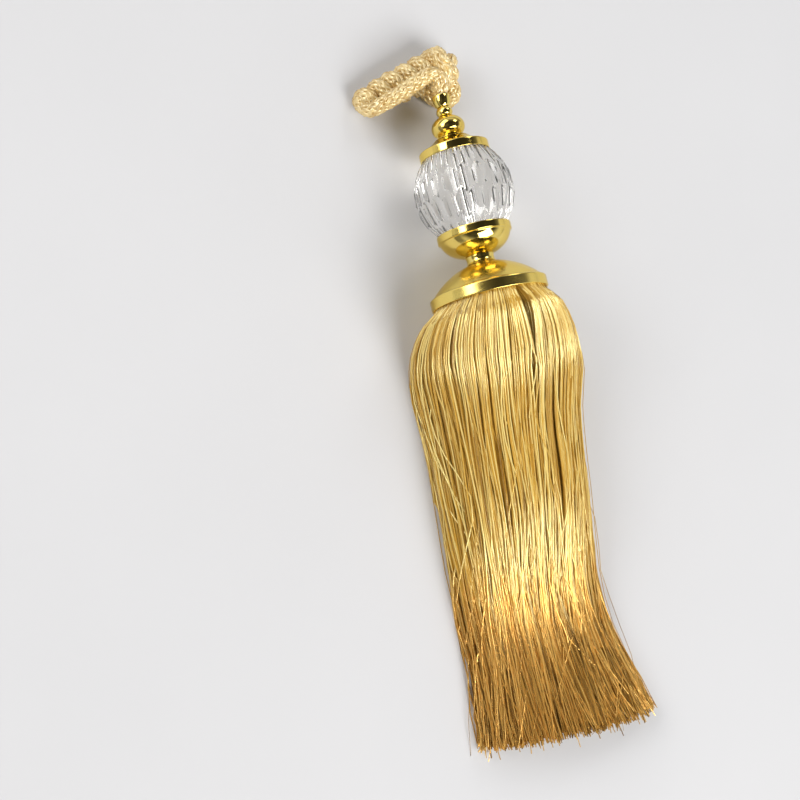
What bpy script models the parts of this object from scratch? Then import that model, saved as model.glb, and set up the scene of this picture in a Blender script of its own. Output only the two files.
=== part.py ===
"""Curtain tieback tassel lying on its back (Blender 4.5, metres, +Z up).

A rod strings the head together: bell, collar, cup, fluted crystal ball, cap and finial. Yarn comes out of
the bell as a fringe, and a braided rope, wound into a hank, comes out of the finial's socket. The tassel
lies along Y on the surface z = 0, with the rope toward +Y and the fringe toward -Y.

Heights on the head are measured along the rod from the bell's lower rim toward the rope. Distances along
the fringe, called runs, are measured from the same rim the other way.
"""

import random
from collections import namedtuple
from math import asin, atan2, cos, hypot, pi, radians, sin, sqrt, tan, tau

import bmesh
import bpy
from mathutils import Matrix, Vector

NAME = "tieback_tassel"
GAP = 0.0003  # between pieces that touch
MERGE = 0.00001

# Head: radii, and heights above the bell's lower rim
ROD_RADIUS = 0.0020
BORE_RADIUS = ROD_RADIUS + GAP
ROD_FOOT, ROD_TOP = 0.0142, 0.0988
EDGE = 0.0004  # how much is taken off the corners of the turned pieces
BELL_RADIUS, BELL_WALL = 0.0285, 0.0014
BELL_BAND, BELL_TOP = 0.0052, 0.0162
BELL_NECK_RADIUS = 0.0094
BELL_CROWN = 0.0026  # the bell's thickness at its neck
BELL_BULGE, BELL_INNER_BULGE = 0.0026, 0.0024
COLLAR_RADIUS, COLLAR_FOOT_RADIUS, COLLAR_TOP = 0.0067, 0.0083, 0.0217
COLLAR_FLARE, COLLAR_HOLLOW = 0.0020, 0.0004  # height and depth of the sweep out to its foot
CUP_RADIUS, CUP_BAND, CUP_TOP = 0.0182, 0.0036, 0.0348
CUP_NECK_RADIUS, CUP_WALL = 0.0062, 0.0014
CUP_BULGE, CUP_INNER_BULGE = 0.0024, 0.0022
CUP_LIP, CUP_BAND_WALL = 0.00115, 0.0022  # the cup's wall at the top and at the foot of its band
CRYSTAL_RADIUS, CRYSTAL_CENTRE = 0.0250, 0.0535
CRYSTAL_HALF_HEIGHT = 0.0235
CRYSTAL_BORE_RADIUS = 0.0045
CRYSTAL_BANDS = 12  # faces from end to end of a flute
FLUTES, FLUTE_DEPTH = 22, 0.0009
CAP_RADIUS, CAP_FOOT, CAP_BAND, CAP_TOP = 0.0166, 0.0733, 0.0031, 0.0806
CAP_NECK_RADIUS = 0.0062
CAP_SHOULDER, CAP_HOLLOW = 0.0012, 0.0009  # step in above the band, and sweep up to the neck
CAP_RIM, CAP_CROWN = 0.00085, 0.0016  # its wall at the rim, and its thickness at the neck
CAP_RECESS = 0.0021  # how deep the rim's wall goes straight up
BALL_RADIUS, BALL_HALF_HEIGHT, BALL_CENTRE = 0.0082, 0.0060, 0.0869
BALL_FOOT_RADIUS, BALL_FOOT = 0.0050, 0.0006
BALL_STEPS, BALL_HIGH, BALL_LOW = 8, radians(62), radians(-58)
BEAD_RADIUS, BEAD_END_RADIUS, BEAD_TOP = 0.0040, 0.0031, 0.0970
SOCKET_RADIUS, SOCKET_TOP = 0.0043, 0.1030
SOCKET_HOLE_RADIUS, SOCKET_HOLE_DEPTH = 0.0036, 0.0030
SOCKET_BULGE = 0.0005

# Fringe
BACKING_RADIUS = 0.0266
BACKING_FOOT = 0.0010  # how far the backing stands out of the bell
BACKING_SHOULDER, BACKING_BULGE = 0.0012, 0.0022
LOCK_RINGS = 6
OUTER_RING_LOCKS = 40
RING_SHARE = 0.145  # a ring's depth as a share of the bundle's radius
LOCK_FILL = 0.86  # how much of its place a lock fills
TIP_FILL = 0.62
TIP_RAGGED = 0.0035  # how unevenly the yarn is cut
CUT_SLANT = 0.0040  # how much longer the yarn is on the +X side
UNDER_SHORTER = 0.006  # how much sooner the locks under the fringe end
CROWN_SHARE = 0.42  # height of the bundle's middle lock, as a share of the fringe's height
SEED = 7

# Each row is a section of the fringe: its run, the middle and half width of its outline, the lowest and
# highest point of the outline, and how far it has turned from a round bundle into a pile on the surface.
FringeRow = namedtuple("FringeRow", "run middle half_width low high settled")
FRINGE_ROWS = (
    FringeRow(run=0.0004, middle=0.0000, half_width=0.0262, low=0.0026, high=0.0550, settled=0.0),
    FringeRow(run=0.0060, middle=0.0010, half_width=0.0360, low=0.0000, high=0.0570, settled=0.25),
    FringeRow(run=0.0160, middle=0.0035, half_width=0.0420, low=0.0000, high=0.0535, settled=0.6),
    FringeRow(run=0.0320, middle=0.0050, half_width=0.0435, low=0.0000, high=0.0435, settled=0.95),
    FringeRow(run=0.0600, middle=0.0025, half_width=0.0405, low=0.0000, high=0.0340, settled=1.0),
    FringeRow(run=0.1100, middle=-0.0010, half_width=0.0385, low=0.0000, high=0.0310, settled=1.0),
    FringeRow(run=0.1620, middle=-0.0025, half_width=0.0385, low=0.0000, high=0.0220, settled=1.0),
    FringeRow(run=0.2120, middle=0.0030, half_width=0.0480, low=0.0000, high=0.0145, settled=1.0),
)

# Hank: it lies beyond the socket, its own X along the winding
ROPE_RADIUS = 0.0042
HANK_PLACE = Vector((-0.0109, 0.1155, 0.0))
HANK_TURN = radians(15.4)
WIND_START, WIND_END, WIND_PITCH = -0.0240, 0.0170, 0.0078
WIND_SLIM, WIND_FULL = 0.0024, 0.0065  # radius of the rope's centre line at the two ends of the winding
WIND_GROWTH = 0.6  # below 1, the winding is nearly full soon after its slim end
WIND_SQUASH = 0.93
WIND_ROUNDING = 0.0050  # length over which the winding's ends close
WIND_END_SHARE = 0.3  # an end face's size as a share of the section
PRESSED = 0.0006  # how flat the rope lies on the surface
WIND_RINGS, WIND_SIDES = 32, 14

# The end loops stand round the winding's full end: centre, radius, and how each is swung and leant in degrees
HankLoop = namedtuple("HankLoop", "along across height radius swing lean")
HANK_LOOPS = (
    HankLoop(along=0.0180, across=-0.0012, height=0.0112, radius=0.0074, swing=-10, lean=-6),
    HankLoop(along=0.0218, across=-0.0038, height=0.0093, radius=0.0056, swing=-38, lean=6),
)
# Routes in the hank's own X, Y and Z. The rope leaves the socket, arches over the winding's full end, runs
# down along its front and is tucked in under the slim end.
FRONT_ROUTE = (
    (0.0094, -0.0108, 0.0222),
    (0.0102, -0.0066, 0.0226),
    (0.0066, -0.0036, 0.0222),
    (0.0005, -0.0040, 0.0204),
    (-0.0065, -0.0051, 0.0188),
    (-0.0130, -0.0057, 0.0168),
    (-0.0190, -0.0060, 0.0138),
    (-0.0234, -0.0054, 0.0094),
    (-0.0240, -0.0022, 0.0052),
    (-0.0205, 0.0014, 0.0040),
)
# A bight of the rope turns back below the socket.
BIGHT_ROUTE = (
    (0.0168, -0.0055, 0.0100),
    (0.0208, -0.0104, 0.0085),
    (0.0200, -0.0152, 0.0068),
    (0.0150, -0.0160, 0.0052),
    (0.0105, -0.0112, 0.0042),
    (0.0090, -0.0060, 0.0042),
)
LEAD_SLIM = 0.78  # the whipped end's radius as a share of the rope's
ROPE_STEP = 0.0032  # length of rope between two rings of its surface
LOOP_SEGMENTS, LOOP_SIDES = 16, 8


def resting_head():
    """Tilt of the rod, and its height at the bell's rim, when the bell and the crystal both touch z = 0."""
    apart = CRYSTAL_CENTRE - BELL_BAND
    tilt = atan2(BELL_RADIUS, apart) - asin(CRYSTAL_RADIUS / hypot(apart, BELL_RADIUS))
    return tilt, CRYSTAL_CENTRE * sin(tilt) + CRYSTAL_RADIUS


HEAD_TILT, HEAD_HEIGHT = resting_head()


def on_rod(height):
    """The point of the rod's axis at a height above the bell's rim."""
    return Vector((0, height * cos(HEAD_TILT), HEAD_HEIGHT - height * sin(HEAD_TILT)))


# ---------------------------------------------------------------- scene, materials and helpers


def clear_scene():
    for obj in list(bpy.data.objects):
        bpy.data.objects.remove(obj)


def new_collection(name):
    collection = bpy.data.collections.new(name)
    bpy.context.scene.collection.children.link(collection)
    return collection


def material(name, colour, roughness, metallic=0.0, transmission=0.0):
    made = bpy.data.materials.new(name)
    made.use_nodes = True
    shader = made.node_tree.nodes["Principled BSDF"]
    shader.inputs["Base Color"].default_value = (*colour, 1.0)
    shader.inputs["Roughness"].default_value = roughness
    shader.inputs["Metallic"].default_value = metallic
    shader.inputs["Transmission Weight"].default_value = transmission
    return made


def add_object(name, mesh, collection, parent, surface=None):
    obj = bpy.data.objects.new(name, mesh)
    collection.objects.link(obj)
    obj.parent = parent
    if surface:
        mesh.materials.append(surface)
    return obj


def add_empty(name, collection, parent=None):
    obj = bpy.data.objects.new(name, None)
    obj.empty_display_size = 0.02
    collection.objects.link(obj)
    obj.parent = parent
    return obj


def hide_helper(obj):
    obj.hide_render = True
    obj.display_type = "WIRE"


def arc(start, end, bulge, steps):
    """Points from start to end, both (radius, height), on an arc that stands bulge proud of its chord.

    Down an outer side a positive bulge is convex. The two ends are included.
    """
    along = Vector(end) - Vector(start)
    proud = Vector((-along.y, along.x)).normalized() * bulge
    shares = [i / steps for i in range(steps + 1)]
    return [tuple(Vector(start) + along * t + proud * 4 * t * (1 - t)) for t in shares]


def turned(name, profile, steps, surface, collection, parent, closed=True):
    """A piece turned about the rod from (radius, height) pairs, down its outer side and then up its bore."""
    count = len(profile)
    edges = [(i, (i + 1) % count) for i in range(count if closed else count - 1)]
    mesh = bpy.data.meshes.new(name)
    mesh.from_pydata([(radius, 0, height) for radius, height in profile], edges, [])
    obj = add_object(name, mesh, collection, parent, surface)
    screw = obj.modifiers.new("Turn", "SCREW")
    screw.steps = screw.render_steps = steps
    screw.use_merge_vertices = True
    screw.merge_threshold = MERGE
    screw.use_smooth_shade = True
    return obj


def loft(bm, rings):
    """A closed body through rings of points, each ring with as many as the next."""
    count = len(rings[0])
    loops = [[bm.verts.new(point) for point in ring] for ring in rings]
    bm.faces.new(reversed(loops[0]))
    bm.faces.new(loops[-1])
    for near, far in zip(loops, loops[1:]):
        for i in range(count):
            j = (i + 1) % count
            bm.faces.new((near[i], near[j], far[j], far[i]))


def mesh_from(bm, name):
    """The finished mesh, smooth where it is round, with its faces turned outward."""
    bmesh.ops.recalc_face_normals(bm, faces=bm.faces)
    mesh = bpy.data.meshes.new(name)
    bm.to_mesh(mesh)
    bm.free()
    mesh.shade_smooth()
    mesh.set_sharp_from_angle(angle=radians(40))
    return mesh


def boolean(obj, operand, operation):
    modifier = obj.modifiers.new(f"{operation.title()} {operand.name}", "BOOLEAN")
    modifier.operation = operation
    modifier.solver = "EXACT"
    modifier.object = operand


def smooth_route(points, count):
    """Points evenly spread in parameter on a smooth curve through the route's own points."""
    ends = [points[0] * 2 - points[1], *points, points[-1] * 2 - points[-2]]
    spans = len(points) - 1
    route = []
    for i in range(count):
        along = i / (count - 1) * spans
        span = min(int(along), spans - 1)
        t = along - span
        p, q, r, s = ends[span : span + 4]
        slope = (r - p) * t
        bend = (2 * p - 5 * q + 4 * r - s) * t**2
        twist = (3 * (q - r) + s - p) * t**3
        route.append(0.5 * (2 * q + slope + bend + twist))
    return route


def rope_tube(name, points, shares, collection, parent):
    """A helper mesh: rope through points, with the share of its full radius that it has at each of them."""
    curve = bpy.data.curves.new(name, "CURVE")
    curve.dimensions = "3D"
    curve.bevel_depth = ROPE_RADIUS
    curve.bevel_resolution = 2
    curve.use_fill_caps = True
    spline = curve.splines.new("POLY")
    length = sum((Vector(b) - Vector(a)).length for a, b in zip(points, points[1:]))
    knots = [Vector((*point, share)) for point, share in zip(points, shares)]
    route = smooth_route(knots, round(length / ROPE_STEP))
    spline.points.add(len(route) - 1)
    for point, place in zip(spline.points, route):
        point.co = (*place.xyz, 1)
        point.radius = place.w
    tube = bpy.data.objects.new(name, curve)
    collection.objects.link(tube)
    graph = bpy.context.evaluated_depsgraph_get()
    bm = bmesh.new()
    bm.from_mesh(bpy.data.meshes.new_from_object(tube.evaluated_get(graph)))
    bmesh.ops.remove_doubles(bm, verts=bm.verts, dist=MERGE)
    bpy.data.objects.remove(tube)
    return add_object(name, mesh_from(bm, name), collection, parent)


# ---------------------------------------------------------------- head


def bell_profile():
    skirt = BELL_RADIUS - BELL_WALL
    ceiling = BELL_TOP - BELL_CROWN
    return [
        (BELL_NECK_RADIUS - BELL_WALL, BELL_TOP),
        *arc((BELL_NECK_RADIUS, BELL_TOP - 2 * EDGE), (skirt, BELL_BAND + EDGE), BELL_BULGE, 4),
        (BELL_RADIUS, BELL_BAND),
        (BELL_RADIUS, EDGE),
        (BELL_RADIUS - EDGE, 0),
        (skirt, 0),
        *arc((skirt - EDGE / 2, BELL_BAND - 1.5 * EDGE), (BELL_NECK_RADIUS, ceiling), -BELL_INNER_BULGE, 3),
        (BORE_RADIUS, ceiling),
        (BORE_RADIUS, BELL_TOP),
    ]


def collar_profile():
    foot = BELL_TOP + GAP
    return [
        (COLLAR_RADIUS - EDGE, COLLAR_TOP),
        (COLLAR_RADIUS, COLLAR_TOP - EDGE),
        *arc((COLLAR_RADIUS, foot + COLLAR_FLARE), (COLLAR_FOOT_RADIUS, foot + EDGE), -COLLAR_HOLLOW, 2),
        (COLLAR_FOOT_RADIUS, foot),
        (BORE_RADIUS, foot),
        (BORE_RADIUS, COLLAR_TOP),
    ]


def cup_profile():
    foot = COLLAR_TOP + GAP
    band = CUP_TOP - CUP_BAND
    neck = CUP_NECK_RADIUS - EDGE
    return [
        (CUP_RADIUS - EDGE, CUP_TOP),
        (CUP_RADIUS, CUP_TOP - EDGE),
        (CUP_RADIUS, band),
        *arc((CUP_RADIUS - 2 * EDGE, band - EDGE), (CUP_NECK_RADIUS, foot), CUP_BULGE, 4),
        (BORE_RADIUS, foot),
        (BORE_RADIUS, foot + CUP_WALL),
        *arc((neck, foot + CUP_WALL), (CUP_RADIUS - CUP_BAND_WALL, band), -CUP_INNER_BULGE, 2),
        (CUP_RADIUS - CUP_LIP, CUP_TOP),
    ]


def cap_profile():
    band = CAP_FOOT + CAP_BAND
    inner = CAP_RADIUS - CAP_RIM
    ceiling = CAP_TOP - CAP_CROWN
    return [
        (CAP_NECK_RADIUS - 2 * EDGE, CAP_TOP),
        *arc((CAP_NECK_RADIUS, CAP_TOP - EDGE), (CAP_RADIUS - CAP_SHOULDER, band + EDGE), -CAP_HOLLOW, 3),
        (CAP_RADIUS, band),
        (CAP_RADIUS, CAP_FOOT + EDGE),
        (CAP_RADIUS - EDGE, CAP_FOOT),
        (inner, CAP_FOOT),
        (inner - EDGE, CAP_FOOT + CAP_RECESS),
        (CAP_NECK_RADIUS - CAP_SHOULDER, ceiling),
        (BORE_RADIUS, ceiling),
        (BORE_RADIUS, CAP_TOP),
    ]


def ball_profile():
    foot = CAP_TOP + GAP
    angles = [BALL_HIGH + (BALL_LOW - BALL_HIGH) * i / BALL_STEPS for i in range(BALL_STEPS + 1)]
    ball = [(BALL_RADIUS * cos(a), BALL_CENTRE + BALL_HALF_HEIGHT * sin(a)) for a in angles]
    top = ball[0][1] + EDGE / 2
    return [
        (BORE_RADIUS + 2 * EDGE, top),
        *ball,
        (BALL_FOOT_RADIUS, foot + BALL_FOOT),
        (BALL_FOOT_RADIUS, foot),
        (BORE_RADIUS, foot),
        (BORE_RADIUS, top),
    ]


def bead_profile():
    foot = ball_profile()[0][1] + GAP
    return [
        *arc((BEAD_END_RADIUS, BEAD_TOP), (BEAD_END_RADIUS, foot), BEAD_RADIUS - BEAD_END_RADIUS, 6),
        (BORE_RADIUS, foot),
        (BORE_RADIUS, BEAD_TOP),
    ]


def socket_profile():
    foot = BEAD_TOP + GAP
    floor = SOCKET_TOP - SOCKET_HOLE_DEPTH
    return [
        (SOCKET_RADIUS - EDGE / 2, SOCKET_TOP),
        *arc((SOCKET_RADIUS, SOCKET_TOP - EDGE), (BEAD_END_RADIUS, foot), SOCKET_BULGE, 5),
        (BORE_RADIUS, foot),
        (BORE_RADIUS, floor),
        (SOCKET_HOLE_RADIUS, floor),
        (SOCKET_HOLE_RADIUS, SOCKET_TOP),
    ]


def make_crystal(surface, collection, parent):
    """A ball cut flat at both ends, bored through, with flutes from end to end."""
    top = asin(CRYSTAL_HALF_HEIGHT / CRYSTAL_RADIUS)
    angles = [top * (1 - 2 * i / CRYSTAL_BANDS) for i in range(CRYSTAL_BANDS + 1)]
    low, high = CRYSTAL_CENTRE - CRYSTAL_HALF_HEIGHT, CRYSTAL_CENTRE + CRYSTAL_HALF_HEIGHT
    profile = [(CRYSTAL_RADIUS * cos(a), CRYSTAL_CENTRE + CRYSTAL_RADIUS * sin(a)) for a in angles]
    profile += [(CRYSTAL_BORE_RADIUS, low), (CRYSTAL_BORE_RADIUS, high)]
    bm = bmesh.new()
    points = [bm.verts.new((0, radius, height)) for radius, height in profile]
    edges = [bm.edges.new((a, b)) for a, b in zip(points, points[1:] + points[:1])]
    # The ridges are on even columns, one of them under the ball, and the grooves are on odd ones.
    columns = 2 * FLUTES
    groove = 1 - FLUTE_DEPTH / CRYSTAL_RADIUS
    bmesh.ops.spin(
        bm, geom=points + edges, axis=(0, 0, 1), cent=(0, 0, 0), angle=tau, steps=columns, use_merge=True
    )
    for vert in bm.verts:
        radius = hypot(vert.co.x, vert.co.y)
        column = round(atan2(vert.co.x, vert.co.y) / tau * columns)
        if column % 2 and radius > CRYSTAL_BORE_RADIUS + MERGE:
            vert.co.x *= groove
            vert.co.y *= groove
    return add_object("crystal", mesh_from(bm, "crystal"), collection, parent, surface)


def make_rod(surface, collection, parent):
    bm = bmesh.new()
    length = ROD_TOP - ROD_FOOT
    bmesh.ops.create_cone(
        bm,
        cap_ends=True,
        segments=12,
        radius1=ROD_RADIUS,
        radius2=ROD_RADIUS,
        depth=length,
        matrix=Matrix.Translation((0, 0, ROD_FOOT + length / 2)),
    )
    return add_object("rod", mesh_from(bm, "rod"), collection, parent, surface)


def make_head(collection, parent):
    """The turned pieces stand on an empty whose Z is the rod, tipped over onto the surface."""
    rod_axis = add_empty("rod_axis", collection, parent)
    rod_axis.location = (0, 0, HEAD_HEIGHT)
    rod_axis.rotation_euler = (-pi / 2 - HEAD_TILT, 0, 0)
    gold = material("gold_plate", (0.83, 0.60, 0.16), 0.12, metallic=1.0)
    crystal = material("crystal", (0.93, 0.95, 0.97), 0.03, transmission=1.0)
    pieces = (
        ("bell", bell_profile(), 36),
        ("collar", collar_profile(), 20),
        ("cup", cup_profile(), 28),
        ("top_cap", cap_profile(), 28),
        ("finial_ball", ball_profile(), 18),
        ("finial_bead", bead_profile(), 14),
        ("rope_socket", socket_profile(), 14),
    )
    for name, profile, steps in pieces:
        turned(name, profile, steps, gold, collection, rod_axis)
    make_crystal(crystal, collection, rod_axis)
    make_rod(gold, collection, rod_axis)
    return rod_axis


# ---------------------------------------------------------------- fringe


def pile_edge(angle, row):
    """A point on the outline of the settled pile: half an oval on the surface, the locks evenly spread."""
    half_turns = angle % tau / pi
    if half_turns > 1:
        return Vector((row.half_width * (2 * half_turns - 3), 0))
    even = 1 - 2 * half_turns
    flatness = max(0, 1 - row.high / row.half_width)
    across = even * flatness + cos(angle) * (1 - flatness)
    return Vector((row.half_width * across, row.high * sqrt(max(0, 1 - across**2))))


def lay(share, angle, row, run):
    """Where a point of the yarn's round bundle comes to lie in a section of the fringe.

    The point is given by its distance from the bundle's middle, as a share of the radius, and its angle.
    """
    middle_height = (row.low + row.high) / 2
    half_height = (row.high - row.low) / 2
    bundled = Vector((row.half_width * share * cos(angle), half_height * share * sin(angle)))
    bundled.y += middle_height
    crown = Vector((0, CROWN_SHARE * row.high))
    settled = crown.lerp(pile_edge(angle, row), share)
    place = bundled.lerp(settled, row.settled)
    # The bundle's own sections lean with the rod.
    lean = tan(HEAD_TILT) * (bundled.y - middle_height) * (1 - row.settled)
    return Vector((row.middle + place.x, lean - run, place.y))


def lock_corners(ring, index, count):
    """Corners of a lock in the bundle: an edge is outward where it lies above, and a side where below."""
    outer = 1 - ring * RING_SHARE
    inner = outer - RING_SHARE * LOCK_FILL
    angle = tau * (index + 0.5 * (ring % 2)) / count
    spread = pi / count * LOCK_FILL
    if sin(angle) > 0:
        corners = ((outer, angle), (inner, angle + spread), (inner, angle - spread))
    else:
        corners = ((inner, angle), (outer, angle - spread), (outer, angle + spread))
    return corners, ((outer + inner) / 2, angle)


def add_lock(bm, ring, index, count, cut):
    corners, middle = lock_corners(ring, index, count)
    rings = []
    for row in FRINGE_ROWS[:-1]:
        rings.append([lay(share, angle, row, row.run) for share, angle in corners])
    last = FRINGE_ROWS[-1]
    under = max(0, -sin(middle[1])) * middle[0]
    end = last.run - UNDER_SHORTER * under + TIP_RAGGED * cut.uniform(-1, 1)
    end += CUT_SLANT / 2 * middle[0] * cos(middle[1])
    centre = lay(*middle, last, end)
    tip = [centre.lerp(lay(share, angle, last, end), TIP_FILL) for share, angle in corners]
    # A lock of the underside keeps its tip as low as the rest of it.
    for point, (share, angle) in zip(tip, corners):
        if sin(angle) < 0:
            point.z = min(point.z, lay(share, angle, last, end).z)
    rings.append(tip)
    loft(bm, rings)


def make_fringe(collection, helpers, parent, rod_axis):
    """The backing fills the bell, and the locks' roots are fused into it."""
    yarn = material("satin_yarn", (0.76, 0.52, 0.20), 0.42)
    ceiling = BELL_TOP - BELL_CROWN - GAP
    inner = (BELL_NECK_RADIUS - EDGE, ceiling - EDGE)
    outer = (BACKING_RADIUS - EDGE / 2, BELL_BAND - BACKING_SHOULDER)
    profile = [
        (0, ceiling - EDGE / 2),
        *arc(inner, outer, BACKING_BULGE, 3),
        (BACKING_RADIUS, -BACKING_FOOT / 2),
        (BACKING_RADIUS - EDGE, -BACKING_FOOT),
        (0, -BACKING_FOOT),
    ]
    backing = turned("fringe", profile, 32, yarn, collection, rod_axis, closed=False)
    cut = random.Random(SEED)
    bm = bmesh.new()
    for ring in range(LOCK_RINGS):
        count = round(OUTER_RING_LOCKS * (1 - (ring + 0.5) * RING_SHARE) / (1 - 0.5 * RING_SHARE))
        for index in range(count):
            add_lock(bm, ring, index, count, cut)
    locks = add_object("locks", mesh_from(bm, "locks"), helpers, parent)
    hide_helper(locks)
    boolean(backing, locks, "UNION")


# ---------------------------------------------------------------- hank


def wind_ring(along):
    """A section of the winding: an oval with a rib wherever the rope crosses it."""
    grown = (along - WIND_START) / (WIND_END - WIND_START)
    centre_line = WIND_SLIM + (WIND_FULL - WIND_SLIM) * grown**WIND_GROWTH
    from_end = min(along - WIND_START, WIND_END - along)
    rounding = sqrt(max(0, 1 - (1 - min(1, from_end / WIND_ROUNDING)) ** 2))
    closing = WIND_END_SHARE + (1 - WIND_END_SHARE) * rounding
    height = centre_line * WIND_SQUASH + ROPE_RADIUS - PRESSED
    ring = []
    for side in range(WIND_SIDES):
        angle = tau * side / WIND_SIDES
        turn = along / WIND_PITCH - side / WIND_SIDES
        off = (turn - round(turn)) * WIND_PITCH
        rib = sqrt(ROPE_RADIUS**2 - off**2)
        across = (centre_line + rib) * closing * cos(angle)
        up = (centre_line * WIND_SQUASH + rib) * closing * sin(angle)
        ring.append((along, across, height + up))
    return ring


def make_winding(surface, collection, parent):
    bm = bmesh.new()
    step = (WIND_END - WIND_START) / (WIND_RINGS - 1)
    loft(bm, [wind_ring(WIND_START + step * i) for i in range(WIND_RINGS)])
    return add_object("hank", mesh_from(bm, "hank"), collection, parent, surface)


def make_loop(number, loop, helpers, parent):
    bpy.ops.mesh.primitive_torus_add(
        major_radius=loop.radius,
        minor_radius=ROPE_RADIUS,
        major_segments=LOOP_SEGMENTS,
        minor_segments=LOOP_SIDES,
    )
    obj = bpy.context.object
    obj.name = f"loop_{number}"
    for holder in list(obj.users_collection):
        holder.objects.unlink(obj)
    helpers.objects.link(obj)
    obj.parent = parent
    obj.location = (loop.along, loop.across, loop.height)
    obj.rotation_euler = (0, pi / 2 + radians(loop.lean), radians(loop.swing))
    return obj


def make_hank(collection, helpers, parent):
    """The winding, its end loops, the bight and the strand from the socket across its front, as one solid."""
    rope = material("tie_rope", (0.80, 0.64, 0.38), 0.5)
    axis = add_empty("hank_axis", collection, parent)
    axis.location = HANK_PLACE
    axis.rotation_euler = (0, 0, HANK_TURN)
    hank = make_winding(rope, collection, axis)
    to_hank = (Matrix.Translation(HANK_PLACE) @ Matrix.Rotation(HANK_TURN, 4, "Z")).inverted()
    socket_floor = to_hank @ on_rod(SOCKET_TOP - SOCKET_HOLE_DEPTH + GAP)
    socket_mouth = to_hank @ on_rod(SOCKET_TOP + EDGE)
    front = [socket_floor, socket_mouth, *FRONT_ROUTE]
    front_shares = [LEAD_SLIM, LEAD_SLIM] + [1] * len(FRONT_ROUTE)
    strands = [make_loop(i + 1, loop, helpers, axis) for i, loop in enumerate(HANK_LOOPS)]
    strands.append(rope_tube("front_strand", front, front_shares, helpers, axis))
    strands.append(rope_tube("bight", BIGHT_ROUTE, [1] * len(BIGHT_ROUTE), helpers, axis))
    for strand in strands:
        hide_helper(strand)
        boolean(hank, strand, "UNION")
    bm = bmesh.new()
    bmesh.ops.create_cube(bm, size=0.1, matrix=Matrix.Translation((0, 0, -0.05)))
    below = add_object("below_surface", mesh_from(bm, "below_surface"), helpers, axis)
    hide_helper(below)
    boolean(hank, below, "DIFFERENCE")


def centre_over_origin(root, collection):
    """Moves the whole tassel so that its box is centred over the origin."""
    bpy.context.view_layer.update()
    graph = bpy.context.evaluated_depsgraph_get()
    corners = []
    for obj in collection.objects:
        if obj.type == "MESH":
            seen = obj.evaluated_get(graph)
            mesh = seen.to_mesh()
            corners += [seen.matrix_world @ vert.co for vert in mesh.vertices]
            seen.to_mesh_clear()
    for side in (0, 1):
        values = [corner[side] for corner in corners]
        root.location[side] = -(min(values) + max(values)) / 2


def main():
    clear_scene()
    collection = new_collection(NAME)
    helpers = new_collection(NAME + "_helpers")
    root = add_empty("tassel", collection)
    rod_axis = make_head(collection, root)
    make_fringe(collection, helpers, root, rod_axis)
    make_hank(collection, helpers, root)
    centre_over_origin(root, collection)


main()
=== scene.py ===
"""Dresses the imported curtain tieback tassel: turned metal, fluted crystal, yarn fringe and braided rope.

The tassel lies along Y on z = 0, with the fringe toward -Y and the rope toward +Y. Heights on the head are
measured along its rod from the bell's lower rim, and runs along the fringe from the same rim the other way.
"""

from collections import namedtuple
from math import asin, atan2, cos, hypot, pi, radians, sin, tan, tau

import bmesh
import bpy
import numpy as np
from bpy.props import FloatProperty, FloatVectorProperty, IntProperty, PointerProperty
from mathutils import Matrix, Vector


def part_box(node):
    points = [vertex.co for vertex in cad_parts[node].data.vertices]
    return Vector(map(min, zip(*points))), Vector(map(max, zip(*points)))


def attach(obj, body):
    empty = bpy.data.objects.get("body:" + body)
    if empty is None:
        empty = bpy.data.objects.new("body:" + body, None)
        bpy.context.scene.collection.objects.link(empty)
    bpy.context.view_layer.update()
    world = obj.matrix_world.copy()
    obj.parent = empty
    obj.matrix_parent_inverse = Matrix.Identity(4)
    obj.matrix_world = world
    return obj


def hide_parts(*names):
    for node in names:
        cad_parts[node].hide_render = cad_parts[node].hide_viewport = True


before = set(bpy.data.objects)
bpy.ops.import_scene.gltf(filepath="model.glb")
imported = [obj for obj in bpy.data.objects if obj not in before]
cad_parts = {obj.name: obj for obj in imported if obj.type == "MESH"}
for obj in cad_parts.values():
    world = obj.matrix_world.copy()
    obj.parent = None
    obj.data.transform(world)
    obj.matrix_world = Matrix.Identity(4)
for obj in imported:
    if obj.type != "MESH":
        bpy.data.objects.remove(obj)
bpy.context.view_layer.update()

bl_info = {
    "name": "Curtain Tieback Tassel",
    "version": (1, 0, 0),
    "blender": (4, 5, 0),
    "location": "3D View > Sidebar > Tassel",
    "description": "Turned metal, fluted crystal, yarn fringe and braided rope around the packed tassel",
    "category": "Object",
}

MERGE = 0.00001
GAP = 0.0003  # left between neighbouring pieces

# Outlines: share of a side that a corner may take, points held near a long side's ends, steps of curves
CORNER_SHARE, LONG_SIDE, HELD = 0.42, 0.0012, 0.0003
CORNER_STEPS, HOLLOW_STEPS, NECK_STEPS, BEAD_STEPS, DOME_STEPS, BALL_STEPS = 4, 8, 10, 14, 22, 28

# Head: radii, and heights above the bell's lower rim
ROD_RADIUS, ROD_FOOT, ROD_TOP = 0.0020, 0.0142, 0.0988
BORE = ROD_RADIUS + GAP
BELL_RADIUS, BELL_WALL, BELL_BAND, BELL_TOP = 0.0285, 0.0014, 0.0052, 0.0162
BELL_NECK, BELL_CROWN, DOME_TOP, BELL_HOLLOW = 0.0094, 0.0026, 0.0180, 0.0024
DOME_CONTROL = (0.0190, 0.0148)  # the dome is drawn toward it
BACKING_RADIUS, BACKING_EDGE, BACKING_SHOULDER, BACKING_BULGE = 0.0266, 0.0264, 0.0012, 0.0022
BACKING_RIM, BACKING_FACE, BACKING_FACE_HEIGHT = 0.0006, 0.0262, 0.0002
COLLAR_RADIUS, COLLAR_TOP, COLLAR_FLARE, COLLAR_HOLLOW = 0.0067, 0.0217, 0.0006, 0.0004
CUP_FOOT = COLLAR_TOP + GAP
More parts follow.
